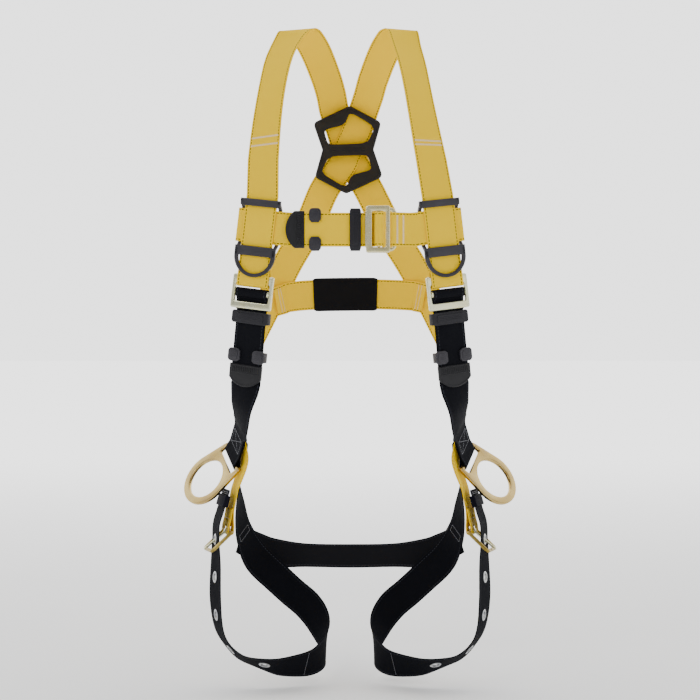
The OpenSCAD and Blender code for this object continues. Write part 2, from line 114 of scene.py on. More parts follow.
# ------ strap routes: [(point, width direction)]
def mix(a, b, c, d, t):
    return 0.5 * (2 * b + (c - a) * t + (2 * a - 5 * b + 4 * c - d) * t * t + (3 * b - a - 3 * c + d) * t ** 3)


def spline(s, n):
    """A Catmull-Rom curve through stations, in n steps from each to the next."""
    out = []
    for i in range(len(s) - 1):
        a, b, c, d = s[max(i - 1, 0)], s[i], s[i + 1], s[min(i + 2, len(s) - 1)]
        for k in range(n):
            t = k / n
            out.append((mix(a[0], b[0], c[0], d[0], t), mix(a[1], b[1], c[1], d[1], t).normalized()))
    return out + [s[-1]]


def tangent(s, i):
    return (s[min(i + 1, len(s) - 1)][0] - s[max(i - 1, 0)][0]).normalized()


def squared(s, k=0):
    """The route with its widths square to it, from station k on."""
    out = []
    for i, (p, w) in enumerate(s):
        z = tangent(s, i)
        out.append((p, w if i < k else (w - z * w.dot(z)).normalized()))
    return out


def upright(f, yz):
    """Stations in a frame's y-z plane, the strap lying across x."""
    return [(at(f, (0, y, z)), f[1].copy()) for y, z in yz]


def level(f, xy, z=0):
    """Stations in a frame's x-y plane, the strap lying across z."""
    return [(at(f, (x, y, z)), f[3].copy()) for x, y in xy]


def polar(r, degrees):
    return r * math.cos(math.radians(degrees)), r * math.sin(math.radians(degrees))


def arc(cx, cy, r, a0, a1, n):
    """n steps along a circle, from a0 to a1 degrees."""
    turns = [polar(r, a0 + (a1 - a0) * k / n) for k in range(n + 1)]
    return [(cx + x, cy + y) for x, y in turns]


def flip_v(v):
    return V(-v[0], v[1], v[2])


def flip(s):
    return [(flip_v(p), flip_v(w)) for p, w in s]


def stations(rows):
    return [(V(*p), V(*w)) for p, w in rows]


# The same stations as the CAD part's routes, on the wearer's right
def over_shoulder(b):
    """Front of a main strap, bowed outwards by about b."""
    return stations([
        ((-112 - b * 0.6, -119, -202), (0.93, -0.35, -0.05)), ((-107 - b, -104, -158), (0.89, -0.45, -0.05)),
        ((-101 - b * 1.2, -86, -112), (0.84, -0.54, -0.05)), ((-95.5 - b * 1.2, -66, -75), (0.82, -0.56, -0.1)),
        ((-91 - b * 1.2, -46, -49), (0.83, -0.53, -0.1)), ((-84.5 - b, -29, -29), (0.88, -0.45, -0.05)),
        ((-79 - b * 0.5, -14, -10), (0.95, -0.25, 0.06)), ((-74.5 - b * 0.2, -7, -3.5), (0.98, -0.1, 0.07)),
        ((-71.5, 0, -1.8), (1, 0, 0.06)), ((-67, 8, -3.5), (1, 0.02, 0.09)), ((-61, 18, -8), (0.98, 0.03, 0.18)),
        ((-51, 45, -19), (0.96, -0.02, 0.25)), ((-42, 70, -37), (0.92, 0, 0.33)), ((-34, 91, -56), (0.95, 0, 0.3)),
        ((-28, 110, -75), (0.97, 0, 0.2))])


def across_back(m, d):
    """Back of a main strap, which crosses the dorsal ring's bar at x = m, at the depth d."""
    return stations([
        ((m / 2 - 22, d - 6, -96), (1, 0, 0.05)), ((m / 2 - 12, d - 5.5, -125), (1, 0, 0)),
        ((m * 0.9 - 5, d - 2.2, -143), (1, 0, 0)), ((m, d, -155), (1, 0, 0)), ((m + 5, d - 2.2, -167), (1, 0, 0)),
        ((m + 13, d - 5.5, -182), (1, 0, 0)), ((m * 1.7 + 35, d - 5, -218), (0.97, 0, 0.2)),
        ((m + 60, 126, -271), (0.88, -0.05, 0.47)), ((m / 2 + 93, 127, -326), (0.87, -0.15, 0.46)),
        ((119, 120, -380), (0.78, -0.42, 0.46)), ((136, 103, -422), (0.62, -0.65, 0.43)),
        ((147, 85, -455), (0.4, -0.82, 0.4)), ((156, 62, -498), (0.05, -0.9, 0.45)),
        ((157.5, 33, -545), (-0.3, -0.8, 0.5)), ((156.8, -4.8, -582), (-0.39, -0.85, 0.35)),
        ((150, -14.8, -612), (-0.38, -0.92, 0.1)), ((161.5, -20, -650), (-0.28, -0.96, 0.05))])


N = 8                                   # samples between two stations
loop_r = FRAME_T / 2 + FOLD
leg_loop = upright(leg_loop_at, [(1, 30), (1.6, 20), (3.4, 8)] + arc(0, 0, loop_r, 0, -180, 16)
                   + [(-3.4, 8), (-1.6, 20), (-1, 32)])
front_start = upright(slider_at, [(-2.4, -27), (-2.2, -38), (2.7, -47.5), (ADJUSTER_Y + loop_r, -53)]
                      + arc(ADJUSTER_Y, -62, loop_r, 0, -180, 16)
                      + [(-4.3, -50), (-4.3, -26), (-4.3, -13), (-5.2, -5), (-5.2, 15), (-5.2, 35),
                         (-4.3, 43), (-4.3, 56)])


def main_route(b, m, d):
    """The shoulder strap of the wearer's right, from its adjuster to the left leg buckle."""
    s = over_shoulder(b) + across_back(m, d)
    return front_start + squared(spline(s, N), 22 * N) + flip(leg_loop)


torso_route = (
    upright(tail_at, [(0, -36), (0, 0), (0, 45.6)])
    + upright(slider_at, [(2.9, -95.5), (2.8, -86), (1.6, -82)]
              + arc(ADJUSTER_Y, -74, ADJUSTER_BAR_R + FOLD, 270, 0, 24) + [(4.9, -80), (4.8, -95.5)])
    + upright(tail_at, [(2, 45.6), (2.2, 15), (TAIL_GAP, -18), (TAIL_GAP, -50)])
    + squared(spline(stations([((-142, -103, -508), (0.84, -0.52, -0.12)), ((-148, -88, -533), (0.6, -0.72, -0.32)),
                               ((-151, -58, -557), (0.42, -0.76, -0.48))]), N))
    + upright(hip_at, [(-1, 42), (-1, 15), (-3, 8)] + arc(0, 0, BAR_D / 2 + FOLD, 180, 360, 16)
              + [(3, 8), (1, 15), (1, 44)]))
slider_loop = level(slider_at, [(38, 1.6), (31, 2.8), (24, 3.1), (-26, 3.1)]
                    + arc(-SLIDER_W / 2, 0, 3.1, 90, 270, 14) + [(-26, -3.1), (29, -3.1)], 15)
chest_right_route = slider_loop + level(
    breast_at, [(-72, 0), (-30, 0), (18, 0), (27, 0), (32, -1), (35.5, -3.4)]
    + arc(38, LINK_Y, LINK_BAR_R + FOLD, 95, -190, 24)
    + [(31.2, -3.6), (29.6, -2.2), (27, -PITCH), (18, -PITCH), (8, -3), (-10, -TAIL_GAP), (-69, -TAIL_GAP)])
chest_left_route = flip(slider_loop) + level(
    breast_at, [(86, -0.6), (78, -3), (70, -6.6), (62, -9.2)] + arc(58.3, -5, 4.3, 270, 90, 14)
    + [(62, -1), (67, -2.9), (72, -3.5), (78, -1.1), (81, 0)])
lumbar_route = squared(spline(stations([
    ((-111, 117.2, -383), (0.35, -0.05, 0.94)), ((-99.5, 123, -379), (0.25, -0.02, 0.96)),
    ((-88, 128, -375), (0.15, 0, 0.98)), ((-55, 132, -372), (0.03, 0, 1)), ((0, 133, -371), (0, 0, 1)),
    ((41, 132, -371), (-0.03, 0, 1)), ((88, 126, -373), (-0.1, 0, 0.98)), ((99.5, 122.5, -375), (-0.15, -0.02, 0.97)),
    ((111, 117.8, -378), (-0.25, -0.05, 0.96))]), N))
seat_right = stations([
    ((-161.6, 46.4, -725), (0.38, 0.78, 0.49)), ((-158.2, 57.2, -729), (0.38, 0.78, 0.49)),
    ((-151.8, 73.4, -736), (0.28, 0.7, 0.64)), ((-134, 90, -747), (0.15, 0.5, 0.85)),
    ((-112, 101, -756), (0.08, 0.5, 0.86)), ((-68, 111, -761), (0.04, 0.74, 0.67))])
seat_route = squared(spline(seat_right + stations([((0, 116, -763), (0, 0.74, 0.67))]) + flip(seat_right)[::-1], N))
leg_cross = at(leg_buckle_at, (0, 20, -3.3))
LEG_CROSS_I = 21                        # the station where the tongue goes through the leg strap
leg_route = squared(spline(
    stations([
        ((-150.6, -4.4, -577.5), (-0.3, 0.75, 0.58)), ((-153.5, 4, -597), (-0.33, 0.75, 0.56)),
        ((-155.5, 12, -617), (-0.25, 0.83, 0.48)), ((-159.5, 22, -650), (-0.05, 0.88, 0.46)),
        ((-158.5, 36, -685), (0.2, 0.82, 0.5)), ((-154, 53, -721), (0.38, 0.78, 0.49)),
        ((-138.5, 74, -758), (0.6, 0.45, 0.65)), ((-110, 86, -789), (0.77, 0.05, 0.63)),
        ((-86, 90, -812), (0.77, -0.05, 0.63)), ((-62.5, 86, -831.5), (0.73, -0.1, 0.68)),
        ((-45.5, 70, -852.5), (0.6, -0.3, 0.75)), ((-35, 38, -876), (0.15, -0.3, 0.94)),
        ((-38, 3, -885), (-0.05, -0.25, 0.96)), ((-57, -26, -892), (0, -0.5, 0.86)),
        ((-95, -46, -892.5), (0, -0.73, 0.68)), ((-126, -51, -887), (0.05, -0.87, 0.47)),
        ((-151, -50, -879), (0.25, -0.93, 0.27)), ((-170, -46, -862), (0.28, -0.95, 0.12)),
        ((-182, -43, -838), (0.36, -0.93, 0.05)), ((-187, -39, -798), (0.42, -0.91, 0)),
        ((-187, -32, -750), (0.37, -0.93, 0.02))])
    + [(leg_cross, leg_buckle_at[1].copy())]
    + stations([((-186.5, -25, -697), (0.28, -0.96, 0)), ((-181, -23, -678), (0.28, -0.96, 0)),
                ((-173, -20, -650), (0.28, -0.96, 0))]), N))


# ------ walking along a strap
def runs(s):
    """Distance along a route of each of its points."""
    out = [0.0]
    for i in range(1, len(s)):
        out.append(out[-1] + (s[i][0] - s[i - 1][0]).length)
    return out


def reach(s, d, r):
    """Frame of the strap at distance d, r being its runs: origin, across, along, normal."""
    i = max(k for k in range(len(s) - 1) if r[k] <= max(d, 0))
    t = (d - r[i]) / (r[i + 1] - r[i])
    y = tangent(s, i) * (1 - t) + tangent(s, i + 1) * t
    y.normalize()
    w = s[i][1] * (1 - t) + s[i + 1][1] * t
    x = (w - y * w.dot(y)).normalized()
    return (s[i][0] * (1 - t) + s[i + 1][0] * t, x, y, x.cross(y))


def nearest(s, p):
    return min(range(len(s)), key=lambda k: (s[k][0] - Vector(p)).length)


def nearest_run(s, p):
    return runs(s)[nearest(s, p)]


# ------ meshes
def new_object(name, data):
    o = bpy.data.objects.new(name, data)
    bpy.context.scene.collection.objects.link(o)
    return o


def soften(o, degrees=40):
    """Smooth shading, apart from edges sharper than so many degrees."""
    for poly in o.data.polygons:
        poly.use_smooth = True
    o.data.set_sharp_from_angle(angle=math.radians(degrees))
    return o


def fix_normals(me, merge=0.0):
    """Faces turned outwards, after vertices closer than merge are joined."""
    bm = bmesh.new()
    bm.from_mesh(me)
    if merge:
        bmesh.ops.remove_doubles(bm, verts=bm.verts, dist=merge)
    bmesh.ops.recalc_face_normals(bm, faces=bm.faces)
    bm.to_mesh(me)
    bm.free()


def evaluated(o):
    """The mesh that an object's modifiers or a curve's bevel make."""
    return bpy.data.meshes.new_from_object(o.evaluated_get(bpy.context.evaluated_depsgraph_get()))


def baked(name, bm):
    me = bpy.data.meshes.new(name)
    bm.to_mesh(me)
    bm.free()
    return me


def mesh_from(name, verts, faces, uvs):
    """Vertices in mm as a mesh in metres, with the UV map that the webbing's material reads."""
    me = bpy.data.meshes.new(name)
    me.from_pydata([tuple(v * MM) for v in verts], [], faces)
    layer = me.uv_layers.new(name="strap")
    for poly in me.polygons:
        for li in poly.loop_indices:
            layer.data[li].uv = uvs[poly.index][li - poly.loop_start]
    me.update()
    fix_normals(me)
    return me


# Half a strap's section, in half widths and half thicknesses: the selvedges are thicker than the weave
SELVEDGE = [(1.0, 0.0), (0.992, 0.6), (0.97, 0.98), (0.93, 1.0), (0.9, 0.84), (0.6, 0.9), (0.3, 0.92)]
PROFILE = [(-u, v) for u, v in SELVEDGE] + [(0.0, 0.93)] + SELVEDGE[::-1]


def wrap(us, vs):
    """Faces between rings of vertices, one ring for each of vs, and their UVs."""
    k = len(us)
    faces, uvs = [], []
    for i, (va, vb) in enumerate(zip(vs, vs[1:])):
        for j, ua in enumerate(us):
            a, b = i * k + j, i * k + (j + 1) % k
            ub = us[(j + 1) % k]
            faces.append((a, b, b + k, a + k))
            uvs.append([(ua, va), (ub, va), (ub, vb), (ua, vb)])
    return faces, uvs


def ribbon(name, s, w):
    """Webbing along a route, with thicker selvedges; its UV map is in metres, across and along."""
    ring = PROFILE + [(u, -v) for u, v in PROFILE[-2:0:-1]]
    us, vs = [u * w / 2 * MM for u, v in ring], [d * MM for d in runs(s)]
    verts = []
    for i, (c, width) in enumerate(s):
        z = tangent(s, i)
        across = width - z * width.dot(z)
        x = width / across.length * w / 2
        y = z.cross(across.normalized()) * WEB_T / 2
        verts += [c + x * u + y * v for u, v in ring]
    faces, uvs = wrap(us, vs)
    last = len(verts) - len(ring)
    faces += [list(range(len(ring)))[::-1], list(range(last, len(verts)))]
    uvs += [[(u, vs[0]) for u in us[::-1]], [(u, vs[-1]) for u in us]]
    return new_object(name, mesh_from(name, verts, faces, uvs))


def rounded(w, h, r, cx=0.0, cy=0.0, n=6):
    """A rectangle w by h about (cx, cy), its corners rounded in n steps."""
    out = []
    for sx, sy, a in ((1, 1, 0), (-1, 1, 90), (-1, -1, 180), (1, -1, 270)):
        out += arc(cx + sx * (w / 2 - r), cy + sy * (h / 2 - r), r, a, a + 90, n)
    return out


def plate(name, outlines, t, edge):
    """A flat part t thick from closed outlines, the later ones holes, with its edges rounded. In mm, about z = 0."""
    cu = bpy.data.curves.new(name, "CURVE")
    cu.dimensions, cu.fill_mode = "2D", "BOTH"
    cu.extrude, cu.offset = t / 2 - edge, -edge
    cu.bevel_depth, cu.bevel_resolution = edge, 3
    for line in outlines:
        sp = cu.splines.new("POLY")
        sp.points.add(len(line) - 1)
        for q, (x, y) in zip(sp.points, line):
            q.co = (x, y, 0, 1)
        sp.use_cyclic_u = True
    o = bpy.data.objects.new(name, cu)
    bpy.context.scene.collection.objects.link(o)
    me = evaluated(o)
    bpy.data.objects.remove(o)
    fix_normals(me, 0.001)
    return me


def skin(bm, rings):
    """Quads from each ring of vertices to the next."""
    for a, b in zip(rings, rings[1:]):
        for k in range(len(a)):
            j = (k + 1) % len(a)
            bm.faces.new((a[k], a[j], b[j], b[k]))


def tube(points, radius, closed=False, sides=16):
    """A round bar through points; open ends are domed. In mm."""
    pts = [Vector(p) for p in points]
    n = len(pts)
    first, last = (pts[1] - pts[0]).normalized(), (pts[-1] - pts[-2]).normalized()
    path = []                           # centre, radius and direction of each ring

    def dome(tip, inward, way, angles):
        for a in angles:
            shrunk, rise = polar(1.0, a)
            path.append((tip + inward * radius * (1 - rise), radius * shrunk, way))

    centres = list(pts)
    if not closed:
        centres[0], centres[-1] = pts[0] + first * radius, pts[-1] - last * radius
        dome(pts[0], first, first, (80, 60, 40, 20))
    for i, c in enumerate(centres):
        a = pts[i - 1] if closed or i else pts[0]
        b = pts[(i + 1) % n] if closed or i < n - 1 else pts[-1]
        path.append((c, radius, (b - a).normalized()))
    if not closed:
        dome(pts[-1], -last, last, (20, 40, 60, 80))

    bm = bmesh.new()
    rings = []
    x = V(0, 0, 1) if abs(path[0][2].z) < 0.9 else V(1, 0, 0)
    for p, r, d in path:
        x = (x - d * x.dot(d)).normalized()
        y = d.cross(x)
        turns = [polar(1.0, 360 * k / sides) for k in range(sides)]
        rings.append([bm.verts.new(p + (x * c + y * s) * r) for c, s in turns])
    skin(bm, rings + rings[:1] if closed else rings)
    if not closed:
        bm.faces.new(rings[0][::-1])
        bm.faces.new(rings[-1])
    bmesh.ops.recalc_face_normals(bm, faces=bm.faces)
    return baked("tube", bm)


def lathe(profile, sides=40):
    """A closed ring-shaped section [(r, z)] turned about z. In mm."""
    bm = bmesh.new()
    turns = [polar(1.0, 360 * k / sides) for k in range(sides)]
    rings = [[bm.verts.new((r * c, r * s, z)) for r, z in profile] for c, s in turns]
    skin(bm, rings + rings[:1])
    bmesh.ops.recalc_face_normals(bm, faces=bm.faces)
    return baked("lathe", bm)


def gather(name, parts, smooth_angle):
    """Meshes with their matrices, joined into one object in the row frame."""
    bm = bmesh.new()
    for me, m in parts:
        tmp = me.copy()
        tmp.transform(m)
        if m.determinant() < 0:
            tmp.flip_normals()
        bm.from_mesh(tmp)
        bpy.data.meshes.remove(tmp)
    return soften(new_object(name, baked(name, bm)), smooth_angle)


HERE = Matrix.Identity(4)
MIRROR = Matrix.Scale(-1, 4, (1, 0, 0))
STAND = Matrix.Rotation(math.radians(90), 4, "X")          # x, y to x, z
LIE_X = Matrix(((0, 0, 1, 0), (1, 0, 0, 0), (0, 1, 0, 0), (0, 0, 0, 1)))      # x, y, z to y, z, x


def standing(outlines, t, edge, y=0.0):
    """A plate drawn in x and z, its middle at y."""
    return (plate("plate", outlines, t, edge), Matrix.Translation((0, y, 0)) @ STAND)


def rod(points, radius, sides=8, closed=False):
    return (tube(points, radius, closed, sides), HERE)


def side_matrix(f, s):
    """Matrix of a frame of the wearer's right, mirrored for the left."""
    return (MIRROR @ matrix_of(f)) if s < 0 else matrix_of(f)


# ------ materials
def srgb(r, g, b):
    def lin(c):
        c /= 255
        return c / 12.92 if c <= 0.04045 else ((c + 0.055) / 1.055) ** 2.4
    return (lin(r), lin(g), lin(b), 1)


class Nodes:
    """Small helper for writing node materials."""
    def __init__(self, name):
        self.mat = bpy.data.materials.new(name)
        self.mat.use_nodes = True
        self.tree = self.mat.node_tree
        self.bsdf = self.tree.nodes["Principled BSDF"]

    def feed(self, socket, v):
        """Link a socket, or set it to a value."""
        if isinstance(v, bpy.types.NodeSocket):
            self.tree.links.new(v, socket)
        else:
            socket.default_value = v

    def put(self, kind, ins=(), **props):
        """A new node with its properties and its first inputs, None for one left as it is."""
        n = self.tree.nodes.new(kind)
        for k, v in props.items():
            setattr(n, k, v)
        for socket, v in zip(n.inputs, ins):
            if v is not None:
                self.feed(socket, v)
        return n

    def math(self, op, a, b=0.0, c=0.0):
        return self.put("ShaderNodeMath", (a, b, c), operation=op).outputs[0]

    def times(self, a, b):
        return self.math("MULTIPLY", a, b)

    def plus(self, a, b):
        return self.math("ADD", a, b)

    def mixed(self, f, a, b):
        ins = (f, None, None, None, None, None, a, b)      # a Mix node's colours are its inputs 6 and 7
        return self.put("ShaderNodeMix", ins, data_type="RGBA").outputs[2]

    def noise(self, vec, scale, detail=4.0, rough=0.55):
        n = self.put("ShaderNodeTexNoise")
        for key, v in (("Vector", vec), ("Scale", scale), ("Detail", detail), ("Roughness", rough)):
            self.feed(n.inputs[key], v)
        return n.outputs["Fac"]

    def ramp(self, f, low, high):
        n = self.put("ShaderNodeMapRange", (f, low, high, 0.0, 1.0))
        n.clamp = True
        return n.outputs[0]

    def faded(self, f, low, high, amount):
        return self.times(self.ramp(f, low, high), amount)

    def bump(self, height, strength, dist):
        n = self.put("ShaderNodeBump")
        for key, v in (("Strength", strength), ("Distance", dist), ("Height", height)):
            self.feed(n.inputs[key], v)
        self.to("Normal", n.outputs[0])

    def to(self, name, v):
        self.feed(self.bsdf.inputs[name], v)

    def place(self):
        return self.put("ShaderNodeTexCoord").outputs["Object"]


def tint(colour, gain, lift=0.0):
    return tuple(min(1, c * gain + lift) for c in colour[:3]) + (1,)


RIB, CHEVRON, WEFT = 0.0015, 0.003, 0.0014      # m: pitch of the warp ribs, arms of the weave, pitch of the weft
DASH, DASH_SHARE = 0.0046, 0.66                 # m: pitch of the edge's stitches, and the thread's share of it


def webbing(name, light, dark, thread, edge=0.0198, bold=0.0005, show=0.75, gloss=0.1):
    """Woven polyester: warp ribs and a chevron weft, a dashed line of stitches along each edge, dust and wear."""
    m = Nodes(name)
    uv = m.put("ShaderNodeUVMap", uv_map="strap").outputs[0]
    xyz = m.put("ShaderNodeSeparateXYZ", (uv,))
    u, v = xyz.outputs[0], xyz.outputs[1]
    place = m.place()
    from_middle = m.math("ABSOLUTE", u)
    rib = m.math("ABSOLUTE", m.math("SINE", m.times(u, math.pi / RIB)))
    slant = m.plus(v, m.math("PINGPONG", u, CHEVRON))
    weft = m.math("SINE", m.times(slant, math.pi * 2 / WEFT))
    weft = m.math("MULTIPLY_ADD", weft, 0.5, 0.5)
    weave = m.plus(m.times(rib, 0.45), m.times(weft, 0.4))
    weave = m.plus(weave, m.times(m.noise(place, 900, 2), 0.25))
    # the line of stitches along each edge
    off_line = m.math("ABSOLUTE", m.math("SUBTRACT", from_middle, edge))
    dash = m.math("LESS_THAN", m.math("FRACT", m.math("DIVIDE", v, DASH)), DASH_SHARE)
    seam = m.times(m.math("LESS_THAN", off_line, bold), dash)
    dirt = m.faded(m.noise(place, 9, 3), 0.45, 0.8, 0.14)
    fuzz = m.faded(m.noise(place, 260, 4, 0.7), 0.55, 0.75, 0.1)
    base = m.mixed(m.ramp(weave, 0.25, 0.95), dark, light)
    base = m.mixed(dirt, base, dark)
    base = m.mixed(fuzz, base, tint(light, 1.5, 0.01))
    base = m.mixed(m.faded(from_middle, 0.0205, 0.0218, 0.16), base, dark)
    base = m.mixed(m.times(seam, show), base, thread)
    m.to("Base Color", base)
    m.to("Roughness", m.math("MULTIPLY_ADD", weave, 0.2, 0.62))
    m.to("Specular IOR Level", gloss)
    m.bump(m.plus(m.times(weave, 0.8), m.times(seam, 0.6)), 0.75, 0.00035)
    return m.mat


def thread_material(name, colour):
    m = Nodes(name)
    n = m.noise(m.place(), 1500, 2)
    m.to("Base Color", m.mixed(m.ramp(n, 0.3, 0.7), tint(colour, 0.7), colour))
    m.to("Roughness", 0.55)
    m.to("Sheen Weight", 0.2)
    m.bump(n, 0.5, 0.0003)
    return m.mat


def plastic(name, colour, grain=0.35, gloss=0.32, rough=0.34):
    """Moulded plastic or rubber with a grain, worn paler in patches."""
    m = Nodes(name)
    place = m.place()
    big, small = m.noise(place, 40, 4), m.noise(place, 1100, 3, 0.65)
    m.to("Base Color", m.mixed(m.faded(big, 0.5, 0.8, 0.35), colour, tint(colour, 2.4, 0.012)))
    m.to("Roughness", m.math("MULTIPLY_ADD", big, 0.25, rough))
    m.to("Specular IOR Level", gloss)
    m.bump(m.plus(m.times(small, 0.6), m.times(big, 0.4)), grain, 0.0003)
    return m.mat


def plated(name, a, b, c, rough=0.24):
    """Passivated steel: hue drifting between three tints, fine scratches and small dents."""
    m = Nodes(name)
    place = m.place()
    drift, patch = m.noise(place, 26, 4), m.noise(place, 70, 5, 0.6)
    stretch = m.put("ShaderNodeMapping", (place, (0, 0, 0), (0.5, 0.2, 0.7), (60, 900, 900)))
    scratch = m.noise(stretch.outputs[0], 1.0, 3)
    m.to("Base Color", m.mixed(m.faded(patch, 0.5, 0.7, 0.55), m.mixed(m.ramp(drift, 0.35, 0.65), a, b), c))
    m.to("Metallic", 1.0)
    worn = m.math("MULTIPLY_ADD", scratch, 0.08, rough - 0.1)
    m.to("Roughness", m.plus(m.times(patch, 0.16), worn))
    m.to("Anisotropic", 0.2)
    m.bump(m.plus(m.times(scratch, 0.4), m.times(patch, 0.6)), 0.16, 0.0004)
    return m.mat


yellow_web = webbing("webbing_yellow", (1.0, 0.71, 0.0, 1), (0.9, 0.52, 0.0, 1), srgb(58, 40, 6),
                     bold=0.00056, show=0.95)
black_web = webbing("webbing_black", (0.011, 0.0115, 0.015, 1), (0.003, 0.0032, 0.0045, 1), srgb(58, 60, 68),
                    edge=0.0192, gloss=0.03)
leg_web = webbing("webbing_leg", (0.0095, 0.01, 0.0135, 1), (0.0025, 0.0028, 0.004, 1), srgb(54, 56, 64),
                  edge=0.0192, gloss=0.02)
sleeve_web = webbing("webbing_sleeve", (0.008, 0.008, 0.0105, 1), (0.0025, 0.0025, 0.0035, 1), srgb(50, 50, 56),
                     edge=0.0225)
pale_thread = thread_material("thread_pale", srgb(255, 226, 176))
grey_thread = thread_material("thread_grey", srgb(104, 106, 114))
dark_plastic = plastic("plastic_plate", (0.0075, 0.0068, 0.0085, 1))
keeper_plastic = plastic("plastic_keeper", (0.0085, 0.008, 0.0125, 1), 0.3)
# the sliders' and clip keepers' black plastic with its base colour raised about twofold: painted highlight on their
# bars and lugs
lit_slider_plastic = plastic("plastic_slider_painted_highlight", (0.019, 0.0175, 0.024, 1), 0.3, 0.45, 0.28)
loop_rubber = plastic("rubber_loop", (0.005, 0.005, 0.009, 1), 0.5, 0.03, 0.6)
cap_rubber = plastic("rubber_cap", (0.007, 0.007, 0.009, 1), 0.6)
gold = plated("plated_gold", srgb(188, 160, 96), srgb(206, 182, 122), srgb(170, 146, 112))
zinc = plated("plated_zinc", srgb(222, 226, 196), srgb(232, 228, 184), srgb(206, 214, 200))
nickel = plated("plated_nickel", srgb(158, 160, 166), srgb(182, 182, 180), srgb(120, 122, 130), 0.3)
pale_gold = plated("plated_pale_gold", srgb(222, 210, 150), srgb(232, 226, 184), srgb(206, 202, 186))
bronze = plated("plated_bronze", srgb(150, 128, 62), srgb(176, 154, 84), srgb(96, 84, 50), 0.3)


def finish_piece(o, material, body, slot, *nodes):
    o.data.materials.clear()
    o.data.materials.append(material)
    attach(o, body)
    if nodes:
        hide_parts(*nodes)
    return o


# ------ webbing
def cut(o, cutters):
    """Holes through a strap."""
    for me, m in cutters:
        tmp = me.copy()
        tmp.transform(m)
        fix_normals(tmp)
        tool = new_object("cutter", tmp)
        mod = o.modifiers.new("cut", "BOOLEAN")
        mod.object, mod.operation, mod.solver = tool, "DIFFERENCE", "EXACT"
        bpy.context.view_layer.update()
        old, new = o.data, evaluated(o)
        o.modifiers.clear()
        o.data = new
        new.name = o.name
        bpy.data.meshes.remove(old)
        bpy.data.objects.remove(tool)
    return o


EASED = ((-112, -119, -215), (-34, 91, -56), 40)        # from, to and passes: the slider to behind the shoulder
BRIDGE_STEP = 2.5


def eased_route(s, first, last, passes):
    """Part of a route with its bends and twists evened out."""
    i0, i1 = nearest(s, first), nearest(s, last)
    for _ in range(passes):
        new = list(s)
        for i in range(i0 + 1, i1):
            (pa, wa), (pb, wb), (pc, wc) = s[i - 1:i + 2]
            new[i] = ((pa + pb * 2 + pc) / 4, (wa + wb * 2 + wc).normalized())
        s = new
    return s


def bridged(s, *starts):
    """A route with the long twisted step after each start drawn as a smooth curve."""
    for start in starts:
        i = nearest(s, start)
        (p0, w0), (p1, w1) = s[i], s[i + 1]
        gap = (p1 - p0).length
        t0 = (p0 - s[i - 1][0]).normalized() * gap
        t1 = (s[i + 2][0] - p1).normalized() * gap
        new = []
        n = math.ceil(gap / BRIDGE_STEP)
        for k in range(1, n):
            t = k / n
            ease = 3 * t * t - 2 * t ** 3
            pulls = t0 * (t ** 3 - 2 * t * t + t) + t1 * (t ** 3 - t * t)
            new.append((p0.lerp(p1, ease) + pulls, w0.lerp(w1, ease)))
        s = s[:i + 1] + new + s[i + 1:]
    return s


torso_route = bridged(torso_route, at(tail_at, (0, TAIL_GAP, -50)), (-151, -58, -557))
ROUTES = {
    "main_strap_right": eased_route(main_route(6, -3, 129.3), *EASED),
    "main_strap_left": flip(eased_route(main_route(-6, 3, 127.3), *EASED)),
    "chest_strap_right": chest_right_route,
    "chest_strap_left": chest_left_route,
    "lumbar_strap": lumbar_route,
    "torso_strap_right": torso_route,
    "torso_strap_left": flip(torso_route),
    "leg_strap_right": leg_route,
    "leg_strap_left": flip(leg_route),
    "seat_strap": seat_route[6:-6],
}
WIDTHS = {"chest_strap_right": CHEST_W, "chest_strap_left": CHEST_W}
LOOKS = {"torso": black_web, "leg": leg_web, "seat": black_web}

# What is cut out of the straps: room for the eyelets, and the slot in a main strap's loop for the leg buckle's tongue
eyelet_room = EYELET_HOLE / 2 + 1.7
bm = bmesh.new()
bmesh.ops.create_cone(bm, cap_ends=True, segments=32, radius1=eyelet_room, radius2=eyelet_room, depth=12)
hole = baked("hole", bm)
slot_box = bpy.data.meshes.new("slot")
slot_box.from_pydata([(x, y, z) for x in (-5.5, 5.5) for y in (-10, 10) for z in (-12, 7)], [],
                     [(0, 1, 3, 2), (4, 6, 7, 5), (0, 4, 5, 1), (2, 3, 7, 6), (0, 2, 6, 4), (1, 5, 7, 3)])
leg_runs = runs(leg_route)
eyelet_frames = [reach(leg_route, leg_runs[LEG_CROSS_I * N] - EYELET_STEP * k, leg_runs) for k in range(EYELETS)]

for name, route in ROUTES.items():
    w = WIDTHS.get(name, WEB_W)
    o = ribbon(name + "_webbing", route, w)
    s = -1 if name.endswith("left") else 1
    if name.startswith("leg"):
        cut(o, [(hole, side_matrix(f, s)) for f in eyelet_frames])
    if name.startswith("main"):
        cut(o, [(slot_box, side_matrix(leg_loop_at, -s))])
    soften(o, 50)
    kind = name.split("_")[0]
    slot = "black_webbing" if kind in LOOKS else "yellow_webbing"
    finish_piece(o, LOOKS.get(kind, yellow_web), "webbing", slot, name)

